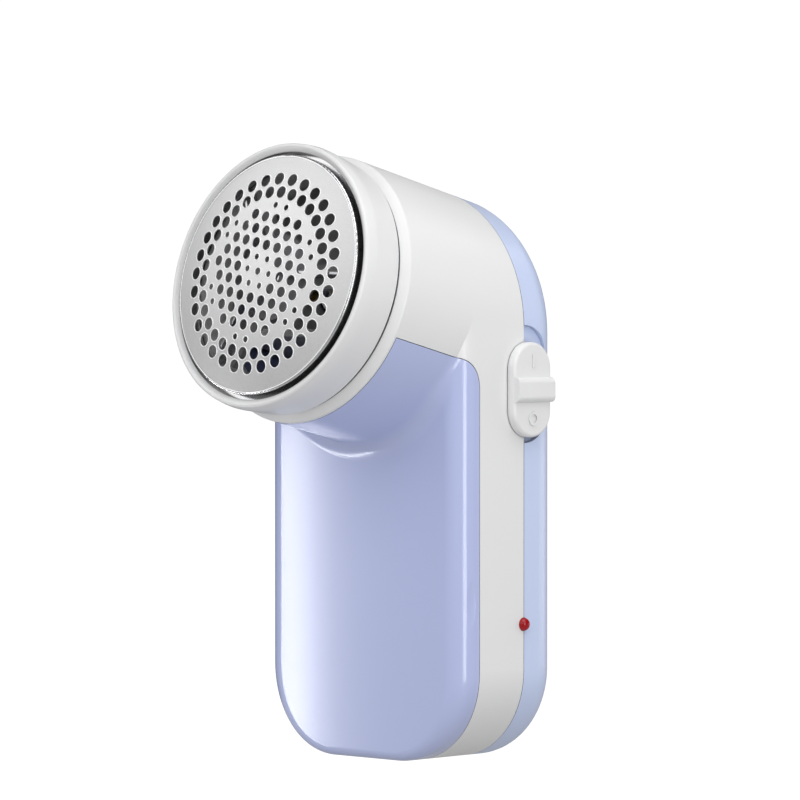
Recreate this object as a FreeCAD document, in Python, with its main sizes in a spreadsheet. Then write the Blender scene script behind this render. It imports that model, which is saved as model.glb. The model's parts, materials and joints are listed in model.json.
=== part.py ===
import FreeCAD, Part
import math
import os
import Sketcher

# Handheld fabric shaver.  Millimetres, +Z up, origin at the centre of the foot.
# The head faces -Y and leans back by head_tilt; "depth" is measured backwards
# from the plane of the foil's edge along the head axis.

SIZES = {
    # head axis
    "head_tilt": 13.4, "head_y": -39.3, "head_height": 101.2,
    # case skin
    "tube_radius": 28.4, "front_y": -11.7, "rear_y": 19.2, "wall": 1.8,
    "foot_corner": 19.0, "front_edge": 4.6, "foot_edge": 2.0, "rear_edge": 7.0,
    "tube_front": 13.4, "neck_blend": 4.0, "rear_depth": 90.0, "chin_depth": 38.0,
    "seam": 0.15, "lint_seam_y": -5.7, "cover_seam_y": 7.6,
    "lint_seam_drop": 10.0, "lint_seam_round": 6.5,
    # finger holds, each scooped by an egg standing half outside the wall
    "grip_y": -8.9, "grip_z": 33.3, "grip_tall": 8.2, "grip_wide": 2.6, "grip_thick": 1.6,
    "grip_depth": 0.5,
    # neck ring and spigot
    "ring_front": 11.2, "ring_step": 26.8, "ring_slope_end": 12.8, "ring_round": 0.5,
    "spigot_radius": 24.65, "spigot_bore": 23.0, "spigot_front": 4.8, "spigot_round": 0.4,
    # partition between lint and electrics
    "deck_top": 8.4, "bulkhead_front": -1.0, "bulkhead_back": 0.5,
    # collar
    "collar_mouth": 26.1, "mouth_depth": 1.05, "lip_radius": 27.75, "lip_front": -0.3,
    "collar_widest": 28.15, "widest_depth": 2.6, "collar_back_radius": 27.3,
    "collar_back": 10.4, "collar_bore": 24.72, "collar_seat": 4.4,
    "collar_hollow": 25.9, "hollow_front": 5.4, "hollow_back": 9.0,
    "lip_round": 0.6, "widest_round": 6.0, "mouth_round": 0.2, "collar_back_round": 0.3,
    # foil and its rim
    "foil_radius": 24.7, "dome_rise": 2.6, "dome_radius": 121.5, "foil_gauge": 0.2,
    "rim_inner": 23.9, "rim_outer": 25.3, "rim_ledge": 0.25, "rim_crest": 0.1,
    "rim_skirt": 3.0, "rim_flange": 26.05, "rim_back": 4.3, "rim_round": 0.35,
    "rim_clear": 0.05,
    "ring_one": 19.9, "ring_two": 17.0, "ring_count": 32, "ring_one_hole": 1.29,
    "ring_two_hole": 1.25, "lattice_pitch": 3.25, "lattice_turn": -11.0,
    "lattice_reach": 14.5, "lattice_hole": 1.08, "small_hole": 0.62, "centre_hole": 0.75,
    # cutter
    "blade_count": 3, "blade_gauge": 0.5, "blade_tip": 21.5, "blade_root": 3.4,
    "blade_gap": 0.2, "arm_front": 2.6, "arm_back": 4.6, "arm_width": 5.0, "arm_reach": 20.6,
    "hub_radius": 4.2, "hub_disc": 9.0, "hub_back": 8.4, "hub_bore": 1.06,
    "spring_radius": 2.6, "spring_wire": 0.35, "spring_turns": 3, "seat_front": 12.4,
    "seat_back": 13.2, "seat_radius": 3.4,
    # motor
    "shaft_radius": 1.0, "shaft_front": 3.4, "shaft_back": 54.2, "motor_front": 21.0,
    "can_radius": 10.2, "can_flat": 7.7, "can_gauge": 0.8, "can_back": 49.6,
    "boss_radius": 3.0, "boss_front": 19.5, "endcap_back": 52.6, "rotor_radius": 5.8,
    "rotor_front": 26.6, "rotor_back": 44.6, "pole_gap": 1.4, "pole_root": 3.6,
    "commutator_radius": 2.8, "commutator_back": 48.1, "magnet_inner": 6.3,
    "magnet_front": 25.1, "magnet_back": 46.6, "magnet_height": 5.5,
    "bearing_clear": 0.03, "bearing_radius": 2.2,
    "terminal_reach": 3.2, "terminal_x": 6.5, "terminal_gauge": 0.5, "terminal_width": 2.4,
    "slit_clear": 0.05,
    "motor_screw_x": 6.6, "motor_screw": 0.8, "motor_screw_head": 1.6,
    "motor_screw_rise": 0.9, "motor_screw_bite": 1.6, "thread_gap": 0.02,
    "driver_slot": 0.4, "driver_depth": 0.45,
    "plate_front": 19.3, "plate_radius": 26.5, "plate_eye_gap": 0.6, "plate_hole_gap": 0.1,
    # power
    "cell_radius": 7.1, "cell_low": 15.5, "cell_high": 64.5, "cell_x": -9.0, "cell_y": 10.0,
    "cell_round": 0.6, "nub_radius": 3.0, "nub_rise": 1.0,
    "contact_gauge": 0.4, "contact_half": 4.0, "contact_half_depth": 3.0,
    "contact_tab": 10.0, "contact_tab_half": 1.0,
    "board_x": 19.0, "board_gauge": 1.2, "board_front": 1.6, "board_rear": 16.0,
    "board_low": 15.0, "board_high": 87.0, "board_round": 1.0,
    "socket_x": 11.0, "socket_width": 7.8, "socket_y": 11.5, "socket_z": 22.0,
    "socket_height": 3.0, "socket_shell": 0.4, "socket_floor": 2.0, "tongue_inset": 1.6,
    "tongue_gauge": 0.6,
    "led_z": 28.5, "led_radius": 1.4, "led_reach": 28.3, "led_clear": 0.05,
    # slide switch
    "knob_y": 8.2, "knob_z": 77.3, "knob_width": 11.3, "knob_length": 19.8,
    "knob_rise": 2.0, "knob_gap": 0.15, "knob_travel": 3.5, "knob_round": 0.7,
    "ridge_height": 5.2, "ridge_rise": 3.2, "ridge_round": 1.2, "ridge_inset": 0.1,
    "mark_rise": 0.25, "mark_width": 0.7, "on_low": 4.6, "on_high": 7.4,
    "off_drop": 6.0, "off_outer": 1.5, "off_inner": 0.9,
    "stem_width": 2.8, "stem_length": 6.0, "stem_depth": 24.4, "slot_clear": 0.25,
    "lever_width": 1.8, "lever_length": 2.4, "lever_clear": 0.05, "lever_bite": 1.6,
    "switch_width": 4.4, "switch_length": 13.0, "switch_rise": 3.4, "switch_end": 0.5,
    "recess_width": 12.6, "recess_low": 66.2, "recess_high": 90.7, "recess_depth": 1.0,
    # case screws
    "screw_radius": 1.0, "screw_head": 2.0, "screw_head_height": 1.5, "screw_sink": 2.2,
    "screw_tip": 2.0, "tip_room": 0.2, "screw_clear": 0.15, "post_radius": 2.8,
    "cross_half": 1.3, "cross_width": 0.5, "cross_depth": 0.8,
    "screw_low_x": 13.0, "screw_low_z": 10.5, "screw_high_x": 9.0, "screw_high_z": 71.0,
    "wire_radius": 0.55, "wire_gap": 0.1,
}

doc = FreeCAD.newDocument("FabricShaver")
sheet = doc.addObject("Spreadsheet::Sheet", "Sizes")
for row, (alias, value) in enumerate(SIZES.items(), start=1):
    sheet.set("A%d" % row, str(value))
    sheet.setAlias("A%d" % row, alias)
sums = doc.addObject("Spreadsheet::Sheet", "Sums")
doc.recompute()


def size(alias):
    return float(getattr(sheet, alias))


def refer(text):
    """Turn a size formula with words set apart by spaces into a bound expression."""
    return " ".join("Sizes." + word if word in SIZES else word for word in text.split())


def amount(text):
    """The present value of a size formula, worked out in a sheet of its own."""
    sums.set("A1", "=" + refer(text))
    sums.recompute()
    return float(sums.get("A1"))


def bind(item, **formulas):
    for prop, text in formulas.items():
        item.setExpression(prop, refer(str(text)))
    return item


def shift(item, x="0", y="0", z="0"):
    item.setExpression(".Placement.Base.x", refer(x))
    item.setExpression(".Placement.Base.y", refer(y))
    item.setExpression(".Placement.Base.z", refer(z))
    return item


def head_rotation():
    return FreeCAD.Rotation(FreeCAD.Vector(1, 0, 0), 90 - size("head_tilt"))


def on_head(item, depth="0"):
    """Stand an item on the head axis: its local +Z looks out of the head."""
    item.Placement.Rotation = head_rotation()
    item.setExpression(".Placement.Rotation.Angle", refer("90 - head_tilt"))
    along = "( " + depth + " )"
    return shift(item, y="head_y + " + along + " * cos( head_tilt )",
                 z="head_height - " + along + " * sin( head_tilt )")


def block(name, x, y, z):
    """A box between two formulas along each axis."""
    box = doc.addObject("Part::Box", name)
    bind(box, Length="( %s ) - ( %s )" % (x[1], x[0]), Width="( %s ) - ( %s )" % (y[1], y[0]),
         Height="( %s ) - ( %s )" % (z[1], z[0]))
    return shift(box, x[0], y[0], z[0])


def rod(name, radius, front, back, x="0", y="0"):
    """A cylinder along local Z from one depth to another (depth is -Z)."""
    item = doc.addObject("Part::Cylinder", name)
    bind(item, Radius=radius, Height="( %s ) - ( %s )" % (back, front))
    return shift(item, x, y, "0 - ( %s )" % back)


def spike(name, radius, x, y, z, way):
    """A cylinder along world X or Y between two formulas."""
    item = doc.addObject("Part::Cylinder", name)
    if way == "x":
        item.Placement.Rotation = FreeCAD.Rotation(FreeCAD.Vector(0, 1, 0), 90)
        bind(item, Radius=radius, Height="( %s ) - ( %s )" % (x[1], x[0]))
        return shift(item, x[0], y, z)
    item.Placement.Rotation = FreeCAD.Rotation(FreeCAD.Vector(1, 0, 0), -90)
    bind(item, Radius=radius, Height="( %s ) - ( %s )" % (y[1], y[0]))
    return shift(item, x, y[0], z)


def cut(name, base, tool):
    item = doc.addObject("Part::Cut", name)
    item.Base = base
    item.Tool = tool
    return item


def common(name, base, tool):
    item = doc.addObject("Part::Common", name)
    item.Base = base
    item.Tool = tool
    return item


def fuse(name, *parts):
    item = doc.addObject("Part::MultiFuse", name)
    item.Shapes = list(parts)
    item.Refine = True
    return item


def group(name, *parts):
    item = doc.addObject("Part::Compound", name)
    item.Links = list(parts)
    return item


def rounded(name, base, radius, wanted):
    """Round every edge of base for which wanted(edge) is true."""
    doc.recompute()
    item = doc.addObject("Part::Fillet", name)
    item.Base = base
    item.Edges = [(i, amount(radius), amount(radius))
                  for i, edge in enumerate(base.Shape.Edges, start=1) if wanted(edge)]
    return item


def turned(name, points, rounds=()):
    """A PartDesign body turned about the head axis from (radius, depth) formulas.

    rounds holds (fillet radius, edge radius, edge depth) formulas.
    """
    body = doc.addObject("PartDesign::Body", name)
    plane = [f for f in body.Origin.OriginFeatures if f.Role == "XZ_Plane"][0]
    sketch = body.newObject("Sketcher::SketchObject", name + "_profile")
    sketch.AttachmentSupport = [(plane, "")]
    sketch.MapMode = "FlatFace"
    spots = [FreeCAD.Vector(amount(r), -amount("0 + " + d), 0) for r, d in points]
    for i, spot in enumerate(spots):
        sketch.addGeometry(Part.LineSegment(spot, spots[(i + 1) % len(spots)]), False)
    for i, (r, d) in enumerate(points):
        sketch.addConstraint(Sketcher.Constraint("Coincident", i, 2, (i + 1) % len(points), 1))
        for kind, value, text in (("DistanceX", spots[i].x, r),
                                  ("DistanceY", spots[i].y, "0 - ( " + d + " )")):
            at = sketch.addConstraint(Sketcher.Constraint(kind, i, 1, value))
            sketch.setExpression("Constraints[%d]" % at, refer(text))
    turn = body.newObject("PartDesign::Revolution", name + "_turn")
    turn.Profile = sketch
    turn.ReferenceAxis = (sketch, ["V_Axis"])
    turn.Angle = 360
    sketch.Visibility = False
    last = turn
    for k, (radius, edge_radius, edge_depth) in enumerate(rounds):
        doc.recompute()
        names = ring_edges(last.Shape, amount(edge_radius), -amount("0 + " + edge_depth))
        fillet = body.newObject("PartDesign::Fillet", "%s_round_%d" % (name, k))
        fillet.Base = (last, names)
        fillet.setExpression("Radius", refer(radius))
        last = fillet
    body.Tip = last
    return body


def ring_edges(shape, radius, height):
    found = []
    for i, edge in enumerate(shape.Edges, start=1):
        curve = edge.Curve
        if not isinstance(curve, Part.Circle):
            continue
        if abs(curve.Radius - radius) < 1e-4 and abs(curve.Center.z - height) < 1e-4:
            found.append("Edge%d" % i)
    return found


SPAN = "60"     # half length of cutting blocks, larger than the shaver's half width
FAR = "160"     # length of cutting blocks, longer than the shaver is tall
THROUGH_WALL = ("tube_radius - 2 * wall", "tube_radius + wall")


# ---------------------------------------------------------------- case skin
def skin(name, inset):
    """Closed volume of the case, moved in from its outside by inset."""
    half = "tube_radius - " + inset
    slab = block(name + "_slab", ("0 - tube_radius + " + inset, half),
                 ("front_y + " + inset, "rear_y - " + inset), (inset, "head_height"))
    low = amount(inset) + 1e-3
    foot = rounded(name + "_foot", slab, "foot_corner - " + inset,
                   lambda e: e.BoundBox.ZMax < low and e.BoundBox.YLength > 1)
    front = front_rounded(name + "_front", foot, inset)
    lower = cut(name + "_lower", front, head_block(name + "_above", "0", FAR))
    upper = half_tube(name + "_upper", half, "rear_depth", 0)
    behind = block(name + "_behind", ("0 - " + SPAN, SPAN), ("rear_y - " + inset, FAR), ("0", FAR))
    roof = cut(name + "_roof", upper, behind)
    chin = half_tube(name + "_chin", half, "chin_depth", 180)
    whole = fuse(name + "_whole", lower, roof, chin)
    back = amount("rear_y - " + inset) - 1e-3
    return rounded(name, whole, "rear_edge - " + inset, lambda e: e.BoundBox.YMin > back)


def front_rounded(name, base, inset):
    """Round the front edges; on the outside they tighten towards the foot, to widen its stand.

    The rounding runs down the right side, along the foot and up the left side.
    """
    doc.recompute()
    upper = amount("front_edge - " + inset)
    lower = size("foot_edge") if inset == "0" else upper
    face = amount("front_y + " + inset) + 1e-3
    floor = amount(inset) + 1e-3
    edges = []
    for i, edge in enumerate(base.Shape.Edges, start=1):
        box = edge.BoundBox
        if box.YMax > face or box.ZMin > size("head_height") - 1:
            continue
        run = sorted((edge.Vertexes[0], edge.Vertexes[-1]), key=lambda corner: -corner.X)
        start, end = [lower if corner.Z < floor else upper for corner in run]
        edges.append((i, start, end))
    item = doc.addObject("Part::Fillet", name)
    item.Base = base
    item.Edges = edges
    return item


def half_tube(name, radius, depth, turn):
    """Half of a cylinder on the head axis, from tube_front back to depth."""
    item = doc.addObject("Part::Cylinder", name)
    bind(item, Radius=radius, Height=depth + " - tube_front")
    item.Angle = 180
    on_head(item, depth)
    if turn:
        item.setExpression(".Placement.Rotation.Angle", None)
        item.Placement.Rotation = head_rotation().multiply(FreeCAD.Rotation(turn, 0, 0))
    return item


def head_block(name, low, high, front="0 - " + FAR, back=FAR):
    """A wide box between two heights above the head axis and two depths along it."""
    box = doc.addObject("Part::Box", name)
    bind(box, Length="2 * " + SPAN, Width="( %s ) - ( %s )" % (high, low),
         Height="( %s ) - ( %s )" % (back, front))
    on_head(box)
    along = "( %s )" % back
    up = "( %s )" % low
    return shift(box, "0 - " + SPAN,
                 "head_y + %s * cos( head_tilt ) + %s * sin( head_tilt )" % (along, up),
                 "head_height - %s * sin( head_tilt ) + %s * cos( head_tilt )" % (along, up))


outer = skin("outer", "0")
middle = skin("middle", "0.5 * wall")
inner = skin("inner", "wall")
shell = cut("shell", outer, inner)


def lint_zone(name, gap):
    """Everything in front of and below the lint box seam, held back by gap."""
    below = head_block(name + "_below", "0 - " + FAR, "0 - lint_seam_drop - " + gap,
                       front="tube_front + " + gap)
    ahead = block(name + "_ahead", ("0 - " + SPAN, SPAN), ("0 - " + FAR, "lint_seam_y - " + gap),
                  ("0 - " + FAR, FAR))
    zone = common(name + "_sharp", below, ahead)
    doc.recompute()
    edge_y = amount("lint_seam_y - " + gap) - 1e-3
    edge_z = zone.Shape.BoundBox.ZMax
    return rounded(name, zone, "lint_seam_round",
                   lambda e: e.BoundBox.YMin > edge_y and e.BoundBox.ZLength < 1e-3
                   and e.BoundBox.ZMin > 0 and e.BoundBox.ZMax < edge_z)


def knob_slot(name):
    """Slot through the side wall for the stem of the switch knob."""
    width = "( 0.5 * stem_width + slot_clear )"
    return block(name, THROUGH_WALL,
                 ("knob_y - " + width, "knob_y + " + width),
                 ("knob_z - 0.5 * stem_length - slot_clear",
                  "knob_z + 0.5 * stem_length + knob_travel + slot_clear"))


def led_hole(name):
    return spike(name, "led_radius + led_clear", THROUGH_WALL, "cover_seam_y", "led_z", "x")


def screw_places():
    for side in ("0 - ", "0 + "):
        for level in ("low", "high"):
            yield "%s_%s" % ("left" if side == "0 - " else "right", level), \
                side + "screw_%s_x" % level, "screw_%s_z" % level


# ---------------------------------------------------------------- main body
def neck():
    """Ring behind the collar and the spigot the collar sits on."""
    return turned("neck", [
        ("spigot_bore", "spigot_front"), ("spigot_radius", "spigot_front"),
        ("spigot_radius", "ring_front"), ("ring_step", "ring_front"),
        ("tube_radius", "ring_slope_end"), ("tube_radius", "tube_front"),
        ("spigot_bore", "tube_front")], [("spigot_round", "spigot_radius", "spigot_front"),
                                         ("ring_round", "tube_radius", "ring_slope_end")])


def partition():
    """Deck under the motor and the bulkhead behind the lint box."""
    deck = head_block("deck", "0 - lint_seam_drop", "0 - deck_top", front="tube_front", back="60")
    rear = block("deck_end", ("0 - " + SPAN, SPAN), ("bulkhead_back", FAR), ("0 - " + FAR, FAR))
    plate = block("bulkhead", ("0 - " + SPAN, SPAN), ("bulkhead_front", "bulkhead_back"),
                  ("0", "head_height"))
    trim = head_block("bulkhead_trim", "0 - deck_top", FAR)
    walls = fuse("partition_walls", cut("deck_plate", deck, rear), cut("bulkhead_plate", plate, trim))
    return common("partition", walls, middle)


def main_body():
    zone = lint_zone("body_zone", "0")
    rear = block("body_rear", ("0 - " + SPAN, SPAN), ("cover_seam_y", FAR), ("0 - " + FAR, FAR))
    band = cut("body_band", shell, fuse("body_off", zone, rear))
    ring = on_head(neck())
    posts = [spike("post_" + tag, "post_radius", x, ("bulkhead_front + tip_room", "cover_seam_y"),
                   z, "y") for tag, x, z in screw_places()]
    solid = fuse("body_solid", band, ring, partition(), *posts)
    holes = [spike("pilot_" + tag, "screw_radius + thread_gap", x,
                   ("screw_tip - tip_room", "rear_y"), z, "y") for tag, x, z in screw_places()]
    tools = fuse("body_tools", knob_slot("body_slot"), led_hole("body_led"), *holes)
    return cut("main_body", solid, tools)


# ---------------------------------------------------------------- rear cover
def rear_cover():
    zone = block("cover_zone", ("0 - " + SPAN, SPAN), ("cover_seam_y + seam", FAR),
                 ("0 - " + FAR, FAR))
    rim = common("cover_shell", shell, zone)
    sleeves = [spike("sleeve_" + tag, "post_radius", x,
                     ("cover_seam_y + seam", "rear_y - 0.5 * wall"), z, "y")
               for tag, x, z in screw_places()]
    solid = fuse("cover_solid", rim, *sleeves)
    tools = [knob_slot("cover_slot"), led_hole("cover_led"), switch_recess(), socket_port()]
    for tag, x, z in screw_places():
        tools.append(spike("through_" + tag, "screw_radius + screw_clear", x,
                           ("cover_seam_y", FAR), z, "y"))
        tools.append(spike("sink_" + tag, "screw_head + screw_clear", x,
                           ("rear_y - screw_sink", FAR), z, "y"))
    return cut("rear_cover", solid, fuse("cover_tools", *tools))


def switch_recess():
    """Shallow run for the knob, round at both ends."""
    radius = "0.5 * recess_width"
    depth = ("tube_radius - recess_depth", "tube_radius + wall")
    low = "recess_low + " + radius
    high = "recess_high - " + radius
    return fuse("recess", spike("recess_bottom", radius, depth, "knob_y", low, "x"),
                spike("recess_top", radius, depth, "knob_y", high, "x"),
                block("recess_run", depth, ("knob_y - " + radius, "knob_y + " + radius), (low, high)))


def socket_port():
    return block("port", ("socket_x - seam", "socket_x + socket_width + seam"),
                 ("rear_y - 2 * wall", "rear_y + wall"),
                 ("socket_z - seam", "socket_z + socket_height + seam"))


# ---------------------------------------------------------------- lint box
def lint_box():
    """Open-backed tray; its front and the underside of the tube are one skin."""
    blend = rounded("outer_blend", outer, "neck_blend", under_tube)
    tray = common("lint_tray", cut("lint_shell", blend, inner), lint_zone("box_zone", "seam"))
    return cut("lint_box", tray, fuse("grips", finger_grip("grip_left", "0 - "),
                                      finger_grip("grip_right", "0 + ")))


def finger_grip(name, side):
    """Egg that scoops a shallow hold out of the lint box's side wall."""
    egg = doc.addObject("Part::Ellipsoid", name)
    bind(egg, Radius1="grip_tall", Radius2="grip_thick", Radius3="grip_wide")
    return shift(egg, side + "( tube_radius + grip_thick - grip_depth )", "grip_y", "grip_z")


def under_tube(edge):
    """True for the edge where the underside of the tube meets the front wall."""
    box = edge.BoundBox
    flat = max(abs(box.YMin - size("front_y")), abs(box.YMax - size("front_y"))) < 1e-3
    return flat and box.ZMin > 2 * size("foot_corner")


# ---------------------------------------------------------------- collar, rim, foil
def collar():
    return on_head(turned("collar", [
        ("collar_mouth", "mouth_depth"), ("lip_radius", "lip_front"),
        ("collar_widest", "widest_depth"), ("collar_back_radius", "collar_back"),
        ("collar_bore", "collar_back"), ("collar_bore", "hollow_back"),
        ("collar_hollow", "hollow_back"),
        ("collar_hollow", "hollow_front"), ("collar_bore", "hollow_front"),
        ("collar_bore", "collar_seat"), ("collar_mouth", "collar_seat")],
        [("lip_round", "lip_radius", "lip_front"),
         ("widest_round", "collar_widest", "widest_depth"),
         ("mouth_round", "collar_mouth", "mouth_depth"),
         ("collar_back_round", "collar_back_radius", "collar_back")]))


def foil_rim():
    return on_head(turned("foil_rim", [
        ("rim_inner", "rim_ledge"), ("foil_radius + rim_clear", "rim_ledge"),
        ("foil_radius + rim_clear", "0 - rim_crest"), ("rim_outer", "0 - rim_crest"),
        ("rim_outer", "rim_skirt"), ("rim_flange", "rim_skirt"),
        ("rim_flange", "rim_back"), ("rim_inner", "rim_back")],
        [("rim_round", "rim_outer", "0 - rim_crest")]))


def dome(name, gauge):
    """Ball whose cap is the foil's outside, moved in by a gauge."""
    ball = doc.addObject("Part::Sphere", name)
    bind(ball, Radius="dome_radius - ( %s )" % gauge)
    return shift(ball, z="dome_rise - dome_radius")


def foil():
    cap = common("foil_cap", cut("foil_skin", dome("foil_outside", "0"),
                                 dome("foil_inside", "foil_gauge")),
                 rod("foil_disc", "foil_radius", "0 - 2 * dome_rise", "dome_rise"))
    holes = []
    for ring, turn in (("ring_one", 0), ("ring_two", 0.5)):
        for k in range(int(size("ring_count"))):
            angle = math.radians(360 * (k + turn) / size("ring_count"))
            holes.append(foil_hole(size(ring) * math.cos(angle), size(ring) * math.sin(angle),
                                   ring + "_hole"))
    holes += [foil_hole(x, y, kind) for x, y, kind in lattice()]
    return on_head(cut("foil", cap, group("foil_holes", *holes)))


def lattice():
    """Triangular grid of holes; the innermost and outermost ones are small."""
    pitch = size("lattice_pitch")
    turn = math.radians(size("lattice_turn"))
    reach = int(size("lattice_reach") / pitch) + 3
    for row in range(-reach, reach + 1):
        for column in range(-reach, reach + 1):
            x = pitch * (column + 0.5 * row)
            y = pitch * row * math.sqrt(3) / 2
            away = math.hypot(x, y)
            if away > size("lattice_reach"):
                continue
            kind = "lattice_hole"
            if away < 0.5 * pitch:
                kind = "centre_hole"
            elif away < 1.5 * pitch or away > size("lattice_reach") - 0.2 * pitch:
                kind = "small_hole"
            yield (x * math.cos(turn) - y * math.sin(turn),
                   x * math.sin(turn) + y * math.cos(turn), kind)


def foil_hole(x, y, kind):
    item = doc.addObject("Part::Cylinder", "foil_hole")
    bind(item, Radius=kind, Height="3 * dome_rise")
    item.Placement.Base = FreeCAD.Vector(x, y, -size("dome_rise"))
    return item


# ---------------------------------------------------------------- cutter
def cutter_hub():
    arms = []
    for k in range(int(size("blade_count"))):
        arm = doc.addObject("Part::Box", "arm_%d" % k)
        bind(arm, Length="arm_reach", Width="arm_width", Height="arm_back - arm_front")
        shift(arm, "0", "0 - 0.5 * arm_width", "0 - arm_back")
        holder = group("arm_holder_%d" % k, arm)
        holder.Placement.Rotation = FreeCAD.Rotation(360.0 * k / size("blade_count"), 0, 0)
        arms.append(holder)
    solid = fuse("hub_solid", rod("hub_boss", "hub_radius", "arm_front", "hub_back"),
                 rod("hub_plate", "hub_disc", "arm_front", "arm_back"), *arms)
    return on_head(cut("cutter_hub", solid, rod("hub_hole", "hub_bore", "0", "seat_front")))


def cutter_blades():
    """Upright blades standing on the arms, ground to follow the foil."""
    blades = []
    for k in range(int(size("blade_count"))):
        blank = doc.addObject("Part::Box", "blank_%d" % k)
        bind(blank, Length="blade_tip - blade_root", Width="blade_gauge",
             Height="arm_front + 2 * dome_rise")
        shift(blank, "blade_root", "0 - 0.5 * blade_gauge", "0 - arm_front")
        turned_blank = group("blank_holder_%d" % k, blank)
        turned_blank.Placement.Rotation = FreeCAD.Rotation(360.0 * k / size("blade_count"), 0, 0)
        blades.append(turned_blank)
    return on_head(common("cutter_blades", group("blanks", *blades),
                          dome("blade_path", "foil_gauge + blade_gap")))


def cutter_spring():
    """Coil of eight-sided wire pushing the cutter against the foil."""
    coil = doc.addObject("Part::Helix", "coil")
    length = "seat_front - hub_back - 2 * spring_wire"
    bind(coil, Pitch="( %s ) / spring_turns" % length, Height=length, Radius="spring_radius")
    wire = doc.addObject("Part::RegularPolygon", "coil_wire")
    wire.Polygon = 8
    bind(wire, Circumradius="spring_wire")
    wire.Placement = FreeCAD.Placement(FreeCAD.Vector(size("spring_radius"), 0, 0),
                                       FreeCAD.Rotation(FreeCAD.Vector(1, 0, 0), 90))
    doc.recompute()
    sweep = doc.addObject("Part::Sweep", "coil_sweep")
    sweep.Sections = [wire]
    sweep.Spine = (coil, ["Edge%d" % i for i in range(1, len(coil.Shape.Edges) + 1)])
    sweep.Solid = True
    sweep.Frenet = True
    lifted = group("cutter_spring", shift(sweep, z="spring_wire - seat_front"))
    return on_head(lifted)


def spring_seat():
    return on_head(cut("spring_seat", rod("seat_disc", "seat_radius", "seat_front", "seat_back"),
                       rod("seat_hole", "shaft_radius", "0", "motor_front")))


# ---------------------------------------------------------------- motor
def motor_shaft():
    return on_head(group("motor_shaft", rod("shaft", "shaft_radius", "shaft_front", "shaft_back")))


def motor_rotor():
    core = fuse("rotor_solid", rod("core", "rotor_radius", "rotor_front", "rotor_back"),
                rod("commutator", "commutator_radius", "rotor_back", "commutator_back"))
    slots = []
    for k in range(3):
        slot = doc.addObject("Part::Box", "slot_%d" % k)
        bind(slot, Length="rotor_radius", Width="pole_gap", Height="rotor_back - rotor_front")
        shift(slot, "pole_root", "0 - 0.5 * pole_gap", "0 - rotor_back")
        holder = group("slot_holder_%d" % k, slot)
        holder.Placement.Rotation = FreeCAD.Rotation(120.0 * k + 30, 0, 0)
        slots.append(holder)
    bore = rod("rotor_bore", "shaft_radius", "motor_front", "endcap_back")
    return on_head(cut("motor_rotor", core, fuse("rotor_tools", bore, *slots)))


def flatted(name, radius, flat, front, back):
    """Cylinder with two flats, the section of a small motor."""
    bar = doc.addObject("Part::Box", name + "_flats")
    bind(bar, Length="2 * ( %s )" % radius, Width="2 * ( %s )" % flat,
         Height="( %s ) - ( %s )" % (back, front))
    shift(bar, "0 - ( %s )" % radius, "0 - ( %s )" % flat, "0 - ( %s )" % back)
    return common(name, rod(name + "_round", radius, front, back), bar)


def motor_can():
    body = flatted("can_body", "can_radius", "can_flat", "motor_front", "can_back")
    room = flatted("can_room", "can_radius - can_gauge", "can_flat - can_gauge",
                   "motor_front + can_gauge", "can_back")
    solid = fuse("can_solid", cut("can_wall", body, room),
                 rod("can_boss", "boss_radius", "boss_front", "motor_front + can_gauge"))
    tools = [rod("can_eye", "bearing_radius", "0", "motor_front + can_gauge")]
    for side in ("0 - ", "0 + "):
        tools.append(rod("can_tap", "motor_screw + thread_gap", "plate_front", "rotor_front",
                         x=side + "motor_screw_x"))
    return on_head(cut("motor_can", solid, fuse("can_tools", *tools)))


def motor_end_cap():
    disc = flatted("cap_disc", "can_radius", "can_flat", "can_back", "endcap_back")
    tools = [rod("cap_eye", "bearing_radius", "0", "shaft_back")]
    for side in ("0 - ", "0 + "):
        tools.append(terminal_blade("cap_slit", side + "terminal_x", "slit_clear"))
    return on_head(cut("motor_end_cap", disc, fuse("cap_tools", *tools)))


def terminal_blade(name, x, clear):
    """Flat tab through the end cap, grown all round by clear."""
    tab = doc.addObject("Part::Box", name)
    bind(tab, Length="terminal_gauge + 2 * " + clear, Width="terminal_width + 2 * " + clear,
         Height="endcap_back + terminal_reach - can_back - terminal_gauge + " + clear)
    return shift(tab, "( %s ) - 0.5 * terminal_gauge - %s" % (x, clear),
                 "0 - 0.5 * terminal_width - " + clear,
                 "0 - endcap_back - terminal_reach - " + clear)


def motor_terminals():
    return on_head(group("motor_terminals", terminal_blade("tab_left", "0 - terminal_x", "0"),
                         terminal_blade("tab_right", "terminal_x", "0")))


def motor_magnets():
    ring = cut("magnet_ring", flatted("magnet_outside", "can_radius - can_gauge",
                                      "magnet_height", "magnet_front", "magnet_back"),
               rod("magnet_bore", "magnet_inner", "motor_front", "endcap_back"))
    return on_head(group("motor_magnets", ring))


def motor_bearings():
    sleeves = []
    for name, front, back in (("front_sleeve", "boss_front", "motor_front + can_gauge"),
                              ("rear_sleeve", "can_back", "endcap_back")):
        sleeves.append(cut(name, rod(name + "_body", "bearing_radius", front, back),
                           rod(name + "_hole", "shaft_radius + bearing_clear", "0", "shaft_back")))
    return on_head(group("motor_bearings", *sleeves))


def motor_screws():
    screws = []
    for side in ("0 - ", "0 + "):
        x = side + "motor_screw_x"
        head = cut("motor_screw_top",
                   rod("motor_screw_head", "motor_screw_head", "plate_front - motor_screw_rise",
                       "plate_front", x=x), driver_slot(x))
        shank = rod("motor_screw_shank", "motor_screw", "plate_front",
                    "motor_front + motor_screw_bite", x=x)
        screws.append(fuse("motor_screw", head, shank))
    return on_head(group("motor_screws", *screws))


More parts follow.
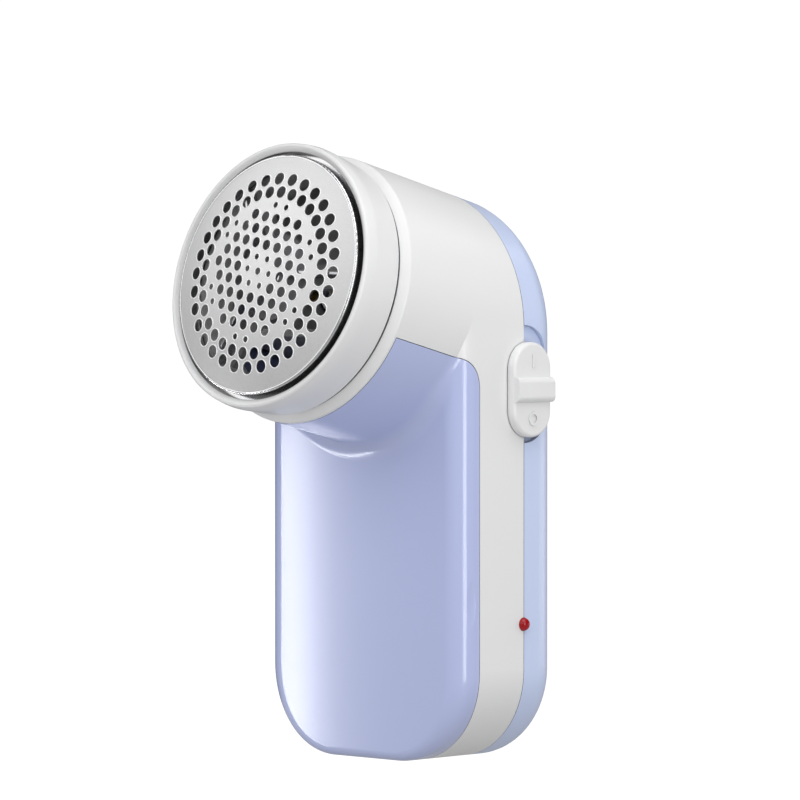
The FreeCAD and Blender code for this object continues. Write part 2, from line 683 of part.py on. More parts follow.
def driver_slot(x):
    """Slot across the head of a motor screw."""
    slot = doc.addObject("Part::Box", "motor_screw_slot")
    bind(slot, Length="driver_slot", Width="4 * motor_screw_head", Height="2 * driver_depth")
    return shift(slot, "( %s ) - 0.5 * driver_slot" % x, "0 - 2 * motor_screw_head",
                 "0 - plate_front + motor_screw_rise - driver_depth")


def chamber_plate():
    """Floor of the cutter room; the crescent below it lets lint fall into the box."""
    disc = rod("plate_disc", "plate_radius", "plate_front", "motor_front")
    chord = doc.addObject("Part::Box", "plate_chord")
    bind(chord, Length="2 * tube_radius", Width="tube_radius", Height="motor_front")
    shift(chord, "0 - tube_radius", "0 - deck_top - tube_radius", "0 - motor_front")
    tools = [chord, rod("plate_eye", "boss_radius + plate_eye_gap", "0", "can_back")]
    for side in ("0 - ", "0 + "):
        tools.append(rod("plate_hole", "motor_screw + plate_hole_gap", "0", "can_back",
                         x=side + "motor_screw_x"))
    return on_head(cut("chamber_plate", disc, fuse("plate_tools", *tools)))


# ---------------------------------------------------------------- power and switch
def upright(name, radius, x, y, low, high):
    item = doc.addObject("Part::Cylinder", name)
    bind(item, Radius=radius, Height="( %s ) - ( %s )" % (high, low))
    return shift(item, x, y, low)


def battery():
    can = upright("cell_can", "cell_radius", "cell_x", "cell_y", "cell_low",
                  "cell_high - nub_rise")
    nub = upright("cell_nub", "nub_radius", "cell_x", "cell_y", "cell_high - 2 * nub_rise",
                  "cell_high")
    body = rounded("cell_body", can, "cell_round", lambda e: isinstance(e.Curve, Part.Circle))
    return fuse("battery", body, nub)


def battery_contacts():
    plates = []
    for name, low, high in (("contact_low", "cell_low - contact_gauge", "cell_low"),
                            ("contact_high", "cell_high", "cell_high + contact_gauge")):
        plate = block(name + "_plate", ("cell_x - contact_half", "cell_x + contact_half"),
                      ("cell_y - contact_half_depth", "cell_y + contact_half_depth"), (low, high))
        tab = block(name + "_tab", ("cell_x + contact_half", "cell_x + contact_tab"),
                    ("cell_y - contact_tab_half", "cell_y + contact_tab_half"), (low, high))
        plates.append(fuse(name, plate, tab))
    return group("battery_contacts", *plates)


def circuit_board():
    body = doc.addObject("PartDesign::Body", "circuit_board")
    plane = [f for f in body.Origin.OriginFeatures if f.Role == "YZ_Plane"][0]
    sketch = body.newObject("Sketcher::SketchObject", "board_outline")
    sketch.AttachmentSupport = [(plane, "")]
    sketch.MapMode = "FlatFace"
    corners = [("board_front", "board_low"), ("board_rear", "board_low"),
               ("board_rear", "board_high"), ("board_front", "board_high")]
    spots = [FreeCAD.Vector(size(a), size(b), 0) for a, b in corners]
    for i, spot in enumerate(spots):
        sketch.addGeometry(Part.LineSegment(spot, spots[(i + 1) % 4]), False)
    for i, (across, height) in enumerate(corners):
        sketch.addConstraint(Sketcher.Constraint("Coincident", i, 2, (i + 1) % 4, 1))
        for kind, alias in (("DistanceX", across), ("DistanceY", height)):
            at = sketch.addConstraint(Sketcher.Constraint(kind, i, 1, size(alias)))
            sketch.setExpression("Constraints[%d]" % at, refer(alias))
    pad = body.newObject("PartDesign::Pad", "board_pad")
    pad.Profile = sketch
    pad.setExpression("Length", refer("board_gauge"))
    sketch.Visibility = False
    doc.recompute()
    fillet = body.newObject("PartDesign::Fillet", "board_corners")
    fillet.Base = (pad, ["Edge%d" % i for i, e in enumerate(pad.Shape.Edges, start=1)
                         if e.BoundBox.XLength > 0.5 * size("board_gauge")])
    fillet.setExpression("Radius", refer("board_round"))
    body.Tip = fillet
    return shift(body, "board_x")


def charge_socket():
    body = block("socket_body", ("socket_x", "socket_x + socket_width"),
                 ("socket_y", "rear_y - socket_shell"), ("socket_z", "socket_z + socket_height"))
    room = block("socket_room", ("socket_x + socket_shell", "socket_x + socket_width - socket_shell"),
                 ("socket_y + socket_floor", "rear_y"),
                 ("socket_z + socket_shell", "socket_z + socket_height - socket_shell"))
    middle_z = "socket_z + 0.5 * socket_height"
    tongue = block("socket_tongue",
                   ("socket_x + tongue_inset", "socket_x + socket_width - tongue_inset"),
                   ("socket_y + 0.5 * socket_floor", "rear_y - socket_shell - 1"),
                   (middle_z + " - 0.5 * tongue_gauge", middle_z + " + 0.5 * tongue_gauge"))
    return fuse("charge_socket", cut("socket_shell_solid", body, room), tongue)


def status_led():
    stem = spike("led_stem", "led_radius", ("board_x + board_gauge", "led_reach"),
                 "cover_seam_y", "led_z", "x")
    tip = doc.addObject("Part::Sphere", "led_tip")
    bind(tip, Radius="led_radius")
    shift(tip, "led_reach", "cover_seam_y", "led_z")
    return fuse("status_led", stem, tip)


def slide_switch():
    front = "board_x + board_gauge"
    can = block("switch_can", (front, front + " + switch_rise"),
                ("knob_y - 0.5 * switch_width", "knob_y + 0.5 * switch_width"),
                ("knob_z + 0.5 * knob_travel - 0.5 * switch_length",
                 "knob_z + 0.5 * knob_travel + 0.5 * switch_length"))
    run = block("switch_run", (front + " + 0.5 * switch_rise", front + " + 2 * switch_rise"),
                ("knob_y - 0.5 * lever_width - lever_clear", "knob_y + 0.5 * lever_width + lever_clear"),
                ("knob_z - 0.5 * lever_length - switch_end",
                 "knob_z + 0.5 * lever_length + knob_travel + switch_end"))
    return cut("slide_switch", can, run)


def lever(name, clear):
    front = "board_x + board_gauge + 0.5 * switch_rise"
    return block(name, (front + " + lever_clear - " + clear, "stem_depth + lever_bite + " + clear),
                 ("knob_y - 0.5 * lever_width - " + clear, "knob_y + 0.5 * lever_width + " + clear),
                 ("knob_z - 0.5 * lever_length - " + clear,
                  "knob_z + 0.5 * lever_length + " + clear))


def obround(name, x, width, length):
    """Upright pill across X on the knob's centre."""
    radius = "0.5 * ( %s )" % width
    low = "knob_z - 0.5 * ( %s ) + %s" % (length, radius)
    high = "knob_z + 0.5 * ( %s ) - %s" % (length, radius)
    return fuse(name, spike(name + "_low", radius, x, "knob_y", low, "x"),
                spike(name + "_high", radius, x, "knob_y", high, "x"),
                block(name + "_mid", x, ("knob_y - " + radius, "knob_y + " + radius), (low, high)))


def switch_knob():
    base = "tube_radius + knob_gap"
    face = base + " + knob_rise"
    pill = obround("knob_pill", (base, face), "knob_width", "knob_length")
    outside = amount(face) - 1e-3
    pad = rounded("knob_pad", pill, "knob_round", lambda e: e.BoundBox.XMin > outside)
    bar = block("knob_bar", (base, base + " + ridge_rise"),
                ("knob_y - 0.5 * knob_width + ridge_inset", "knob_y + 0.5 * knob_width - ridge_inset"),
                ("knob_z - 0.5 * ridge_height", "knob_z + 0.5 * ridge_height"))
    crest = amount(base + " + ridge_rise") - 1e-3
    ridge = rounded("knob_ridge", bar, "ridge_round",
                    lambda e: e.BoundBox.XMin > crest and e.BoundBox.YLength > 1)
    stem = block("knob_stem", ("stem_depth", base), ("knob_y - 0.5 * stem_width",
                                                     "knob_y + 0.5 * stem_width"),
                 ("knob_z - 0.5 * stem_length", "knob_z + 0.5 * stem_length"))
    marks = fuse("knob_marks", on_mark(face), off_mark(face))
    solid = fuse("knob_solid", pad, ridge, stem, marks)
    return cut("switch_knob", solid, lever("knob_pocket", "lever_clear"))


def on_mark(face):
    """Raised upright stroke in the upper half of the knob."""
    return block("mark_on", (face, face + " + mark_rise"),
                 ("knob_y - 0.5 * mark_width", "knob_y + 0.5 * mark_width"),
                 ("knob_z + on_low", "knob_z + on_high"))


def off_mark(face):
    """Raised ring in the lower half of the knob."""
    rise = (face, face + " + mark_rise")
    return cut("mark_off", spike("mark_disc", "off_outer", rise, "knob_y", "knob_z - off_drop", "x"),
               spike("mark_hole", "off_inner", rise, "knob_y", "knob_z - off_drop", "x"))


def case_screws():
    screws = []
    for tag, x, z in screw_places():
        top = ("rear_y - screw_sink", "rear_y - screw_sink + screw_head_height")
        head = cut("screw_top_" + tag, spike("screw_head_" + tag, "screw_head", x, top, z, "y"),
                   cross_slot(tag, x, z))
        shank = spike("screw_shank_" + tag, "screw_radius", x,
                      ("screw_tip", "rear_y - screw_sink"), z, "y")
        screws.append(fuse("screw_" + tag, head, shank))
    return group("case_screws", *screws)


def cross_slot(tag, x, z):
    depth = ("rear_y - screw_sink + screw_head_height - cross_depth", "rear_y")
    thin = "0.5 * cross_width"
    return fuse("cross_" + tag,
                block("cross_flat_" + tag, (x + " - cross_half", x + " + cross_half"), depth,
                      (z + " - " + thin, z + " + " + thin)),
                block("cross_tall_" + tag, (x + " - " + thin, x + " + " + thin), depth,
                      (z + " - cross_half", z + " + cross_half")))


def head_point(x, depth):
    """A point on the level of the head axis, x to the side and depth behind the foil."""
    tilt = math.radians(size("head_tilt"))
    return FreeCAD.Vector(x, size("head_y") + depth * math.cos(tilt),
                          size("head_height") - depth * math.sin(tilt))


def wire(start, *through):
    """Round lead along a smooth curve; no primitive bends this way."""
    curve = Part.BSplineCurve()
    curve.interpolate([start] + list(through))
    spine = Part.Wire([curve.toShape()])
    section = Part.Wire([Part.Circle(start, curve.tangent(0)[0], size("wire_radius")).toShape()])
    return spine.makePipeShell([section], True, True)


def motor_lead(side):
    """Lead from a motor terminal round the can's end to the board; the far one passes above."""
    thick = 2 * size("wire_radius")
    start = head_point(side * size("terminal_x"),
                       size("endcap_back") + size("terminal_reach") + 0.5 * thick)
    clear_x = size("can_radius") + 2 * thick
    board = FreeCAD.Vector(board_side(), start.y - 3 * thick, start.z - 4 * thick * (1.5 + side))
    beside = FreeCAD.Vector(clear_x, start.y - thick, 0.5 * (start.z + board.z) + thick)
    lift = FreeCAD.Vector(1.5 * thick, 0.4 * thick, -1.5 * thick * side)
    if side > 0:
        return wire(start, start + lift, beside, board)
    above = FreeCAD.Vector(0.5 * clear_x, start.y + 0.6 * thick, start.z + 2.5 * thick)
    return wire(start, start + lift, above, beside, board)


def cell_lead(height, climb):
    """Lead from the top of a battery contact to the board, ending climb leads higher."""
    thick = 2 * size("wire_radius")
    start = FreeCAD.Vector(size("cell_x") + size("contact_tab") - thick, size("cell_y"), height)
    bend = start + FreeCAD.Vector(5 * thick, -2 * thick, thick)
    board = FreeCAD.Vector(board_side(), size("cell_y") - 3 * thick, height + climb * thick)
    return wire(start, bend, board)


def board_side():
    """Where the leads end, just off the board's inner face."""
    return size("board_x") - size("wire_radius") - size("wire_gap")


def wires():
    thick = 2 * size("wire_radius")
    top = size("cell_high") + size("contact_gauge") + 0.55 * thick
    bottom = size("cell_low") + 0.55 * thick
    leads = [motor_lead(-1), motor_lead(1), cell_lead(top, -6), cell_lead(bottom, 4)]
    item = doc.addObject("Part::Feature", "wires")
    item.Shape = Part.makeCompound(leads)
    return item


def switch_lever():
    return group("switch_lever", lever("lever_block", "0"))


NODES = [main_body, rear_cover, lint_box, collar, foil_rim, foil, cutter_hub, cutter_blades,
         cutter_spring, spring_seat, motor_shaft, motor_rotor, motor_can, motor_end_cap,
         motor_terminals, motor_magnets, motor_bearings, motor_screws, chamber_plate, battery,
         battery_contacts, circuit_board, charge_socket, status_led, slide_switch, switch_knob,
         switch_lever, case_screws, wires]

os.makedirs("parts", exist_ok=True)
made = [build() for build in NODES]
doc.recompute()

broken = [o.Label for o in doc.Objects if "Invalid" in o.State or "Error" in o.State]
if broken:
    raise RuntimeError("broken objects: " + ", ".join(broken))
for item in made:
    if item.Shape.isNull() or not item.Shape.isValid() or item.Shape.Volume <= 0:
        raise RuntimeError("bad shape: " + item.Label)
    item.Shape.exportStep("parts/%s.step" % item.Label)
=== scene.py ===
import json
import math

import bmesh
import bpy
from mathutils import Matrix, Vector


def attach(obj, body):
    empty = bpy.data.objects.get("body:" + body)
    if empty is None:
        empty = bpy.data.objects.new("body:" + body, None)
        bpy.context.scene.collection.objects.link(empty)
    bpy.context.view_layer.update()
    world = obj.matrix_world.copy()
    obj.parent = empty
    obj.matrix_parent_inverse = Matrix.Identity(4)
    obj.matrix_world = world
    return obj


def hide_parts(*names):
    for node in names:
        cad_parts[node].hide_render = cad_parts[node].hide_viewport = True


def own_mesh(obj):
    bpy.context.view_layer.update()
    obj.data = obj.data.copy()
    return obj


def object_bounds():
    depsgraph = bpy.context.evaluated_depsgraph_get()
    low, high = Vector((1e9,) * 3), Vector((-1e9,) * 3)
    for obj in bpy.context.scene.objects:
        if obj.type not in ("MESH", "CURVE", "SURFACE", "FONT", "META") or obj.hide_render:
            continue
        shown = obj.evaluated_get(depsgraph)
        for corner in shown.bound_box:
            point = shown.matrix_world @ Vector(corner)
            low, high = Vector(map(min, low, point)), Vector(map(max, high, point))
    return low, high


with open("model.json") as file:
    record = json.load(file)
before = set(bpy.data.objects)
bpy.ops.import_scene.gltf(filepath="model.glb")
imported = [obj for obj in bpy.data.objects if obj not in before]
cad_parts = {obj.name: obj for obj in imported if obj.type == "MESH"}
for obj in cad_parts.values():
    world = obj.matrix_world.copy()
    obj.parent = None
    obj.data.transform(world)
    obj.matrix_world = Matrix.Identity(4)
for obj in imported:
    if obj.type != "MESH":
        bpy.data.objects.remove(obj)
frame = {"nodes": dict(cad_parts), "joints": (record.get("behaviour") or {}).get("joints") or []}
cad_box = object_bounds()

LOW = Vector(cad_box[0])
HIGH = Vector(cad_box[1])
HEIGHT = HIGH.z - LOW.z

# camera: long lens, nearly level, three-quarter front view; angles in degrees
AZIMUTH = 44.0
ELEVATION = 1.2
LENS_MM = 211.5
SENSOR_MM = 36.0
DISTANCE = 7.73 * HEIGHT
AIM_HEIGHT = 0.584 * HEIGHT

# the paper lies lower than the foot, so that the lint box can slide off downwards
FLOOR_DROP = 0.4 * HEIGHT

# light levels
AIR = 0.20            # light from all round
PAPER_WHITE = 1.00    # how bright the paper looks to the camera by itself
PAPER_BOUNCE = 0.22   # how much of that reaches the shaver

# painted shade in seams: how far a crevice looks for the wall opposite, in metres
SEAM_REACH = 2.2e-3
# share of open sky at which the painted seam shade is full, and at which there is none
SEAM_DARK = 0.18
SEAM_UNSHADED = 0.62
# colour of the painted shade in the seams
SEAM_SHADE_COLOUR = (0.02, 0.02, 0.02)

# half thickness of the burr round each hole in the foil, in metres, and its sides
BURR = 1.1e-4
BURR_SIDES = 6
# corners closer than this are one corner
SAME_PLACE = 2e-6
# holes are no longer round their edge than this; the foil's own edge is
LONGEST_HOLE_EDGE = 0.012
# a hole's edge turns by more than this, and one of its faces looks forwards
SHARP_EDGE = math.radians(50)
LOOKS_FORWARDS = -0.8


# ---------------------------------------------------------------- placing things
def direction(azimuth, elevation):
    """Unit vector towards a place seen at these angles in degrees; 0, 0 is straight ahead."""
    turn = math.radians(azimuth)
    rise = math.radians(elevation)
    return Vector((math.sin(turn) * math.cos(rise), -math.cos(turn) * math.cos(rise), math.sin(rise)))


def add_object(name, data):
    item = bpy.data.objects.new(name, data)
    bpy.context.scene.collection.objects.link(item)
    return item


def add_smooth_mesh(name, points, faces, material):
    mesh = bpy.data.meshes.new(name)
    mesh.from_pydata(points, [], faces)
    mesh.materials.append(material)
    for face in mesh.polygons:
        face.use_smooth = True
    return add_object(name, mesh)


def look_back(item, target, way, distance):
    """Put a lamp or camera that far from the target along way, facing the target."""
    item.location = target + way * distance
    item.rotation_euler = (-way).to_track_quat("-Z", "Y").to_euler()


# ---------------------------------------------------------------- material building blocks
def new_material(name):
    material = bpy.data.materials.new(name)
    material.use_nodes = True
    nodes = material.node_tree.nodes
    shader = nodes["Principled BSDF"]
    return material, nodes, material.node_tree.links, shader


def coordinates(nodes):
    return nodes.new("ShaderNodeTexCoord").outputs["Object"]


def noise(nodes, links, scale, detail=4.0, rough=0.5):
    texture = nodes.new("ShaderNodeTexNoise")
    texture.inputs["Scale"].default_value = scale
    texture.inputs["Detail"].default_value = detail
    texture.inputs["Roughness"].default_value = rough
    links.new(coordinates(nodes), texture.inputs["Vector"])
    return texture.outputs["Fac"]


def spread(nodes, links, value, low, high, start=0.3, end=0.7):
    """Remap a 0..1 texture value to low..high."""
    remap = nodes.new("ShaderNodeMapRange")
    remap.inputs["From Min"].default_value = start
    remap.inputs["From Max"].default_value = end
    remap.inputs["To Min"].default_value = low
    remap.inputs["To Max"].default_value = high
    links.new(value, remap.inputs["Value"])
    return remap.outputs["Result"]


def tint(nodes, links, value, first, second, start=0.35, end=0.65):
    """Turn a 0..1 texture value into a colour between first and second."""
    ramp = nodes.new("ShaderNodeValToRGB")
    ramp.color_ramp.elements[0].position = start
    ramp.color_ramp.elements[0].color = (*first, 1)
    ramp.color_ramp.elements[1].position = end
    ramp.color_ramp.elements[1].color = (*second, 1)
    links.new(value, ramp.inputs["Fac"])
    return ramp.outputs["Color"]


def bump(nodes, links, value, shader, depth):
    node = nodes.new("ShaderNodeBump")
    node.inputs["Distance"].default_value = depth
    links.new(value, node.inputs["Height"])
    links.new(node.outputs["Normal"], shader.inputs["Normal"])


def seam_shade(nodes, links, colour, shader):
    """Painted shade: the base colour darkened in the gaps between parts, where little open sky is
    found.
    """
    crevice = nodes.new("ShaderNodeAmbientOcclusion")
    crevice.inputs["Distance"].default_value = SEAM_REACH
    crevice.samples = 8
    links.new(colour, crevice.inputs["Color"])
    # painted shade: mix in the dark colour where little open sky is found
    painted_shade = nodes.new("ShaderNodeMix")
    painted_shade.data_type = "RGBA"
    links.new(spread(nodes, links, crevice.outputs["AO"], 0.0, 1.0, SEAM_DARK, SEAM_UNSHADED),
              painted_shade.inputs["Factor"])
    painted_shade.inputs["A"].default_value = (*SEAM_SHADE_COLOUR, 1)
    links.new(colour, painted_shade.inputs["B"])
    links.new(painted_shade.outputs["Result"], shader.inputs["Base Color"])


def moulded_plastic(name, colour, roughness, grain=3e-6, coat=0.0):
    """Injection moulded shell: faint colour drift, painted shade in its seams, spark-eroded grain,
    handling sheen.
    """
    material, nodes, links, shader = new_material(name)
    drift = noise(nodes, links, 22.0, 1.0)
    darker = tuple(channel * 0.985 for channel in colour)
    seam_shade(nodes, links, tint(nodes, links, drift, darker, colour, 0.2, 0.8), shader)
    sheen = noise(nodes, links, 900.0, 2.0)
    links.new(spread(nodes, links, sheen, roughness * 0.93, roughness * 1.07, 0.2, 0.8),
              shader.inputs["Roughness"])
    bump(nodes, links, noise(nodes, links, 5200.0, 2.0), shader, grain)
    shader.inputs["Coat Weight"].default_value = coat
    shader.inputs["Coat Roughness"].default_value = 0.15
    return material


def metal(name, colour, roughness, wear=0.15, scale=900.0, depth=2e-6, metallic=1.0):
    """Bare or plated metal with fine working marks."""
    material, nodes, links, shader = new_material(name)
    shader.inputs["Metallic"].default_value = metallic
    marks = noise(nodes, links, scale, 5.0, 0.65)
    darker = tuple(channel * (1 - wear) for channel in colour)
    links.new(tint(nodes, links, marks, darker, colour), shader.inputs["Base Color"])
    links.new(spread(nodes, links, marks, roughness * 0.8, roughness * 1.25),
              shader.inputs["Roughness"])
    bump(nodes, links, marks, shader, depth)
    return material


WHITE = (0.84, 0.84, 0.845)
BLUE = (0.61, 0.70, 0.95)
LAVENDER = (0.51, 0.57, 0.86)


def lint_plastic():
    """Milky tinted plastic with a glossy coat; its milkiness is a surface colour."""
    return moulded_plastic("lint_plastic", LAVENDER, 0.19, grain=1e-6, coat=0.5)


def led_lens():
    """Red lens that glows faintly."""
    material, nodes, links, shader = new_material("led_lens")
    glow = noise(nodes, links, 700.0, 2.0)
    links.new(tint(nodes, links, glow, (0.24, 0.0, 0.003), (0.34, 0.001, 0.006)),
              shader.inputs["Base Color"])
    links.new(spread(nodes, links, glow, 0.08, 0.16), shader.inputs["Roughness"])
    shader.inputs["Coat Weight"].default_value = 0.4
    shader.inputs["Coat Roughness"].default_value = 0.05
    shader.inputs["Specular IOR Level"].default_value = 0.25
    shader.inputs["Emission Color"].default_value = (0.8, 0.0, 0.02, 1)
    shader.inputs["Emission Strength"].default_value = 0.08
    return material


def board_material():
    """Green solder mask with paler lines between its fields, for the traces."""
    material, nodes, links, shader = new_material("solder_mask")
    brick = nodes.new("ShaderNodeTexBrick")
    brick.inputs["Scale"].default_value = 160.0
    brick.inputs["Mortar Size"].default_value = 0.06
    brick.inputs["Color1"].default_value = (0.01, 0.13, 0.05, 1)
    brick.inputs["Color2"].default_value = (0.012, 0.15, 0.06, 1)
    brick.inputs["Mortar"].default_value = (0.03, 0.25, 0.10, 1)
    links.new(coordinates(nodes), brick.inputs["Vector"])
    links.new(brick.outputs["Color"], shader.inputs["Base Color"])
    bump(nodes, links, brick.outputs["Fac"], shader, 2e-5)
    shader.inputs["Roughness"].default_value = 0.35
    return material


MATERIALS = {
    "main_body": lambda: moulded_plastic("case_plastic", WHITE, 0.35),
    "collar": lambda: moulded_plastic("collar_plastic", WHITE, 0.35, coat=0.1),
    "switch_knob": lambda: moulded_plastic("knob_plastic", WHITE, 0.37),
    "rear_cover": lambda: moulded_plastic("cover_plastic", BLUE, 0.35, coat=0.3),
    "lint_box": lint_plastic,
    "foil_rim": lambda: metal("rim_chrome", (0.70, 0.70, 0.71), 0.20, 0.05, scale=300.0, depth=2e-7),
    "foil": lambda: metal("foil_steel", (0.78, 0.78, 0.785), 0.45, 0.08, scale=2600.0, depth=1e-6),
    "cutter_hub": lambda: moulded_plastic("hub_plastic", (0.30, 0.30, 0.31), 0.5),
    "chamber_plate": lambda: moulded_plastic("plate_plastic", (0.36, 0.36, 0.37), 0.5),
    "motor_end_cap": lambda: moulded_plastic("end_cap_plastic", (0.05, 0.05, 0.055), 0.5),
    "switch_lever": lambda: moulded_plastic("lever_plastic", (0.03, 0.03, 0.03), 0.4),
    "cutter_blades": lambda: metal("blade_steel", (0.55, 0.55, 0.57), 0.25, 0.2),
    "cutter_spring": lambda: metal("spring_steel", (0.6, 0.6, 0.62), 0.25),
    "spring_seat": lambda: metal("seat_brass", (0.75, 0.55, 0.25), 0.3),
    "motor_shaft": lambda: metal("shaft_steel", (0.7, 0.7, 0.72), 0.15),
    "motor_rotor": lambda: metal("rotor_copper", (0.72, 0.32, 0.16), 0.35),
    "motor_can": lambda: metal("can_zinc", (0.62, 0.63, 0.66), 0.3),
    "motor_terminals": lambda: metal("terminal_brass", (0.78, 0.6, 0.3), 0.3),
    "motor_magnets": lambda: metal("magnet_ferrite", (0.09, 0.09, 0.1), 0.6),
    "motor_bearings": lambda: metal("bearing_bronze", (0.6, 0.42, 0.2), 0.4),
    "motor_screws": lambda: metal("screw_plating", (0.6, 0.6, 0.6), 0.3),
    "case_screws": lambda: metal("case_screw_plating", (0.5, 0.5, 0.52), 0.3),
    "battery": lambda: moulded_plastic("cell_wrap", (0.03, 0.16, 0.08), 0.35),
    "battery_contacts": lambda: metal("contact_nickel", (0.7, 0.69, 0.64), 0.25),
    "circuit_board": board_material,
    "charge_socket": lambda: metal("socket_shell", (0.65, 0.65, 0.66), 0.25),
    "slide_switch": lambda: metal("switch_can", (0.65, 0.65, 0.66), 0.3),
    "status_led": led_lens,
    "wires": lambda: moulded_plastic("wire_sleeve", (0.45, 0.02, 0.02), 0.45),
}


def dress_cad_nodes():
    """Give every CAD node its own material."""
    for name, node in frame["nodes"].items():
        material = MATERIALS[name]()
        node.data.materials.clear()
        node.data.materials.append(material)


# ---------------------------------------------------------------- burrs round the foil's holes
def hole_edges(node):
    """Closed runs of points where the foil's front face turns into the wall of a hole."""
    shape = bmesh.new()
    shape.from_mesh(node.data)
    shape.transform(node.matrix_world)
    bmesh.ops.remove_doubles(shape, verts=shape.verts, dist=SAME_PLACE)
    shape.normal_update()
    following = {}
    for edge in shape.edges:
        if len(edge.link_faces) != 2 or edge.calc_face_angle(0.0) < SHARP_EDGE:
            continue
        if min(face.normal.y for face in edge.link_faces) > LOOKS_FORWARDS:
            continue
        for one, other in (edge.verts, reversed(edge.verts)):
            following.setdefault(one.index, []).append(other.index)
    places = {v.index: v.co.copy() for v in shape.verts}
    shape.free()
    # walk from each point to the next until its run closes
    runs = []
    waiting = set(following)
    for start in sorted(following):
        if start not in waiting:
            continue
        run = []
        here = start
        while here is not None:
            waiting.discard(here)
            run.append(places[here])
            here = next((n for n in following[here] if n in waiting), None)
        if sum((run[i] - run[i - 1]).length for i in range(len(run))) < LONGEST_HOLE_EDGE:
            runs.append(run)
    return runs


def burr_painted_highlight():
    """Painted highlight on the burrs: flat white rather than mirror-like steel, so the edge looks
    bright at any angle.
    """
    return metal("burr_painted_highlight", (1.0, 1.0, 1.0), 0.35, 0.02, scale=3000.0, metallic=0.0)


def hole_burrs():
    """Raised ring round every hole, as etching leaves it, coloured as a painted highlight."""
    points = []
    faces = []
    for run in hole_edges(frame["nodes"]["foil"]):
        middle = sum(run, Vector()) / len(run)
        facing = (run[0] - middle).cross(run[len(run) // 4] - middle).normalized()
        first = len(points)
        for place in run:
            outward = (place - middle).normalized()
            for k in range(BURR_SIDES):
                turn = 2 * math.pi * k / BURR_SIDES
                points.append(place + BURR * (outward * (1 + math.cos(turn))
                                              + facing * math.sin(turn)))
        for i in range(len(run)):
            here = first + i * BURR_SIDES
            there = first + (i + 1) % len(run) * BURR_SIDES
            for k in range(BURR_SIDES):
                other = (k + 1) % BURR_SIDES
                faces.append((here + k, there + k, there + other, here + other))
    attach(add_smooth_mesh("hole_burrs", points, faces, burr_painted_highlight()), "foil_cap")


# ---------------------------------------------------------------- coil under the cutter
def sprung_coil():
    """The coil as a piece of its own, in place of the spring node, which rides with the cutter as a
    whole and keeps its length.
    """
    node = frame["nodes"]["cutter_spring"]
    coil = add_object("sprung_coil", node.data.copy())
    coil.matrix_world = node.matrix_world.copy()
    sink = next(joint for joint in frame["joints"] if joint["name"] == "cutter_float")
    outward = Vector(sink["axis"]).normalized()
    travel = max(abs(limit) for limit in sink["range_m"])
    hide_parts("cutter_spring")
    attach(coil, "cutter")
    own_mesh(coil)


# ---------------------------------------------------------------- stage, light, camera
def sheet_mesh(name, rows, material):
    """A grid surface through rows of points."""
    width = len(rows[0])
    points = [p for row in rows for p in row]
    faces = []
    for i in range(len(rows) - 1):
        for j in range(width - 1):
            a = i * width + j
            faces.append((a, a + 1, a + width + 1, a + width))
    return add_smooth_mesh(name, points, faces, material)


def paper_material():
    """White paper: glows by itself, more to the camera than to the shaver."""
    material, nodes, links, shader = new_material("studio_paper")
    fibre = noise(nodes, links, 60.0, 4.0)
    links.new(tint(nodes, links, fibre, (0.22, 0.22, 0.22), (0.24, 0.24, 0.24)),
              shader.inputs["Base Color"])
    shader.inputs["Roughness"].default_value = 0.9
    shader.inputs["Specular IOR Level"].default_value = 0.0
    shader.inputs["Emission Color"].default_value = (1, 1, 1, 1)
    path = nodes.new("ShaderNodeLightPath")
    links.new(spread(nodes, links, path.outputs["Is Camera Ray"], PAPER_BOUNCE, PAPER_WHITE, 0, 1),
              shader.inputs["Emission Strength"])
    return material


def studio():
    """Seamless paper sweep behind the shaver, square to the camera."""
    half = 20 * HEIGHT
    ahead = 12 * HEIGHT
    behind = 14 * HEIGHT
    bend = 6 * HEIGHT
    profile = [(-ahead, 0.0), (behind - bend, 0.0)]
    profile += [(behind - bend + bend * math.sin(a), bend - bend * math.cos(a))
                for a in [math.radians(6 * k) for k in range(1, 16)]]
    profile.append((behind, 30 * HEIGHT))
    turn = math.radians(AZIMUTH)
    away = Vector((-math.sin(turn), math.cos(turn), 0))
    across = Vector((math.cos(turn), math.sin(turn), 0))
    floor = LOW.z - FLOOR_DROP
    rows = [[tuple(away * depth + across * side + Vector((0, 0, floor + height)))
             for side in (-half, 0, half)] for depth, height in profile]
    sheet_mesh("studio_sweep", rows, paper_material())


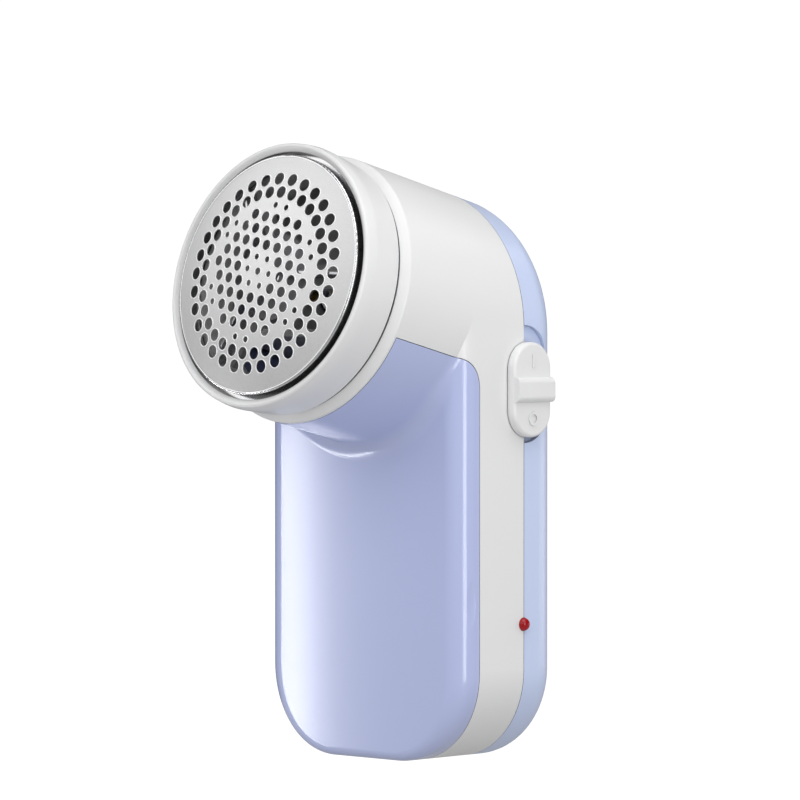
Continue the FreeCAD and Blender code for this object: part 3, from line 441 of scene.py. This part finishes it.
def black_card(name, left, right, low, high):
    """Dark flag that only shiny surfaces see, such as the chrome; its edges are in degrees."""
    cloth, nodes, links, shader = new_material("flag_cloth")
    weave = noise(nodes, links, 400.0, 2.0)
    links.new(tint(nodes, links, weave, (0.004, 0.004, 0.004), (0.008, 0.008, 0.008)),
              shader.inputs["Base Color"])
    shader.inputs["Specular IOR Level"].default_value = 0.0
    steps = 6
    rows = [[tuple(3 * HEIGHT * direction(left + (right - left) * step / steps, rise))
             for step in range(steps + 1)] for rise in (low, high)]
    card = sheet_mesh(name, rows, cloth)
    card.visible_camera = False
    card.visible_diffuse = False
    card.visible_shadow = False


def area_light(name, azimuth, elevation, distance, width, height, watts):
    """Soft box aimed at the middle of the shaver; lengths are in heights of the shaver."""
    lamp = bpy.data.lights.new(name, "AREA")
    lamp.shape = "RECTANGLE"
    lamp.size = width * HEIGHT
    lamp.size_y = height * HEIGHT
    lamp.energy = watts
    middle = Vector((0, 0, LOW.z + 0.5 * HEIGHT))
    look_back(add_object(name, lamp), middle, direction(azimuth, elevation), distance * HEIGHT)


def light():
    world = bpy.data.worlds.new("studio_air")
    world.use_nodes = True
    background = world.node_tree.nodes["Background"]
    background.inputs["Color"].default_value = (1, 1, 1, 1)
    background.inputs["Strength"].default_value = AIR
    bpy.context.scene.world = world
    bpy.context.scene.view_settings.view_transform = "Standard"
    # name, azimuth, elevation, distance, width, height, watts
    area_light("top_box", 70, 66, 5, 4, 4, 2.0)
    area_light("front_box", 20, 25, 5, 4, 4, 1.0)
    area_light("key_panel", 72, 5, 3, 0.8, 3, 0.57)
    area_light("back_box", 158, 14, 5, 3, 4, 1.0)
    area_light("head_panel", -44, 30, 4, 3.2, 2.4, 0.52)
    area_light("left_strip", -48, -17, 1.1, 0.06, 0.75, 0.032)


def camera():
    lens = bpy.data.cameras.new("camera")
    lens.lens = LENS_MM
    lens.sensor_width = SENSOR_MM
    lens.clip_end = 100.0
    item = add_object("camera", lens)
    look_back(item, Vector((0, 0, LOW.z + AIM_HEIGHT)), direction(AZIMUTH, ELEVATION), DISTANCE)
    bpy.context.scene.camera = item


dress_cad_nodes()
hole_burrs()
sprung_coil()
studio()
black_card("left_card", -140, -70, -15, 60)
black_card("back_card", 140, 195, 10, 42)
light()
camera()
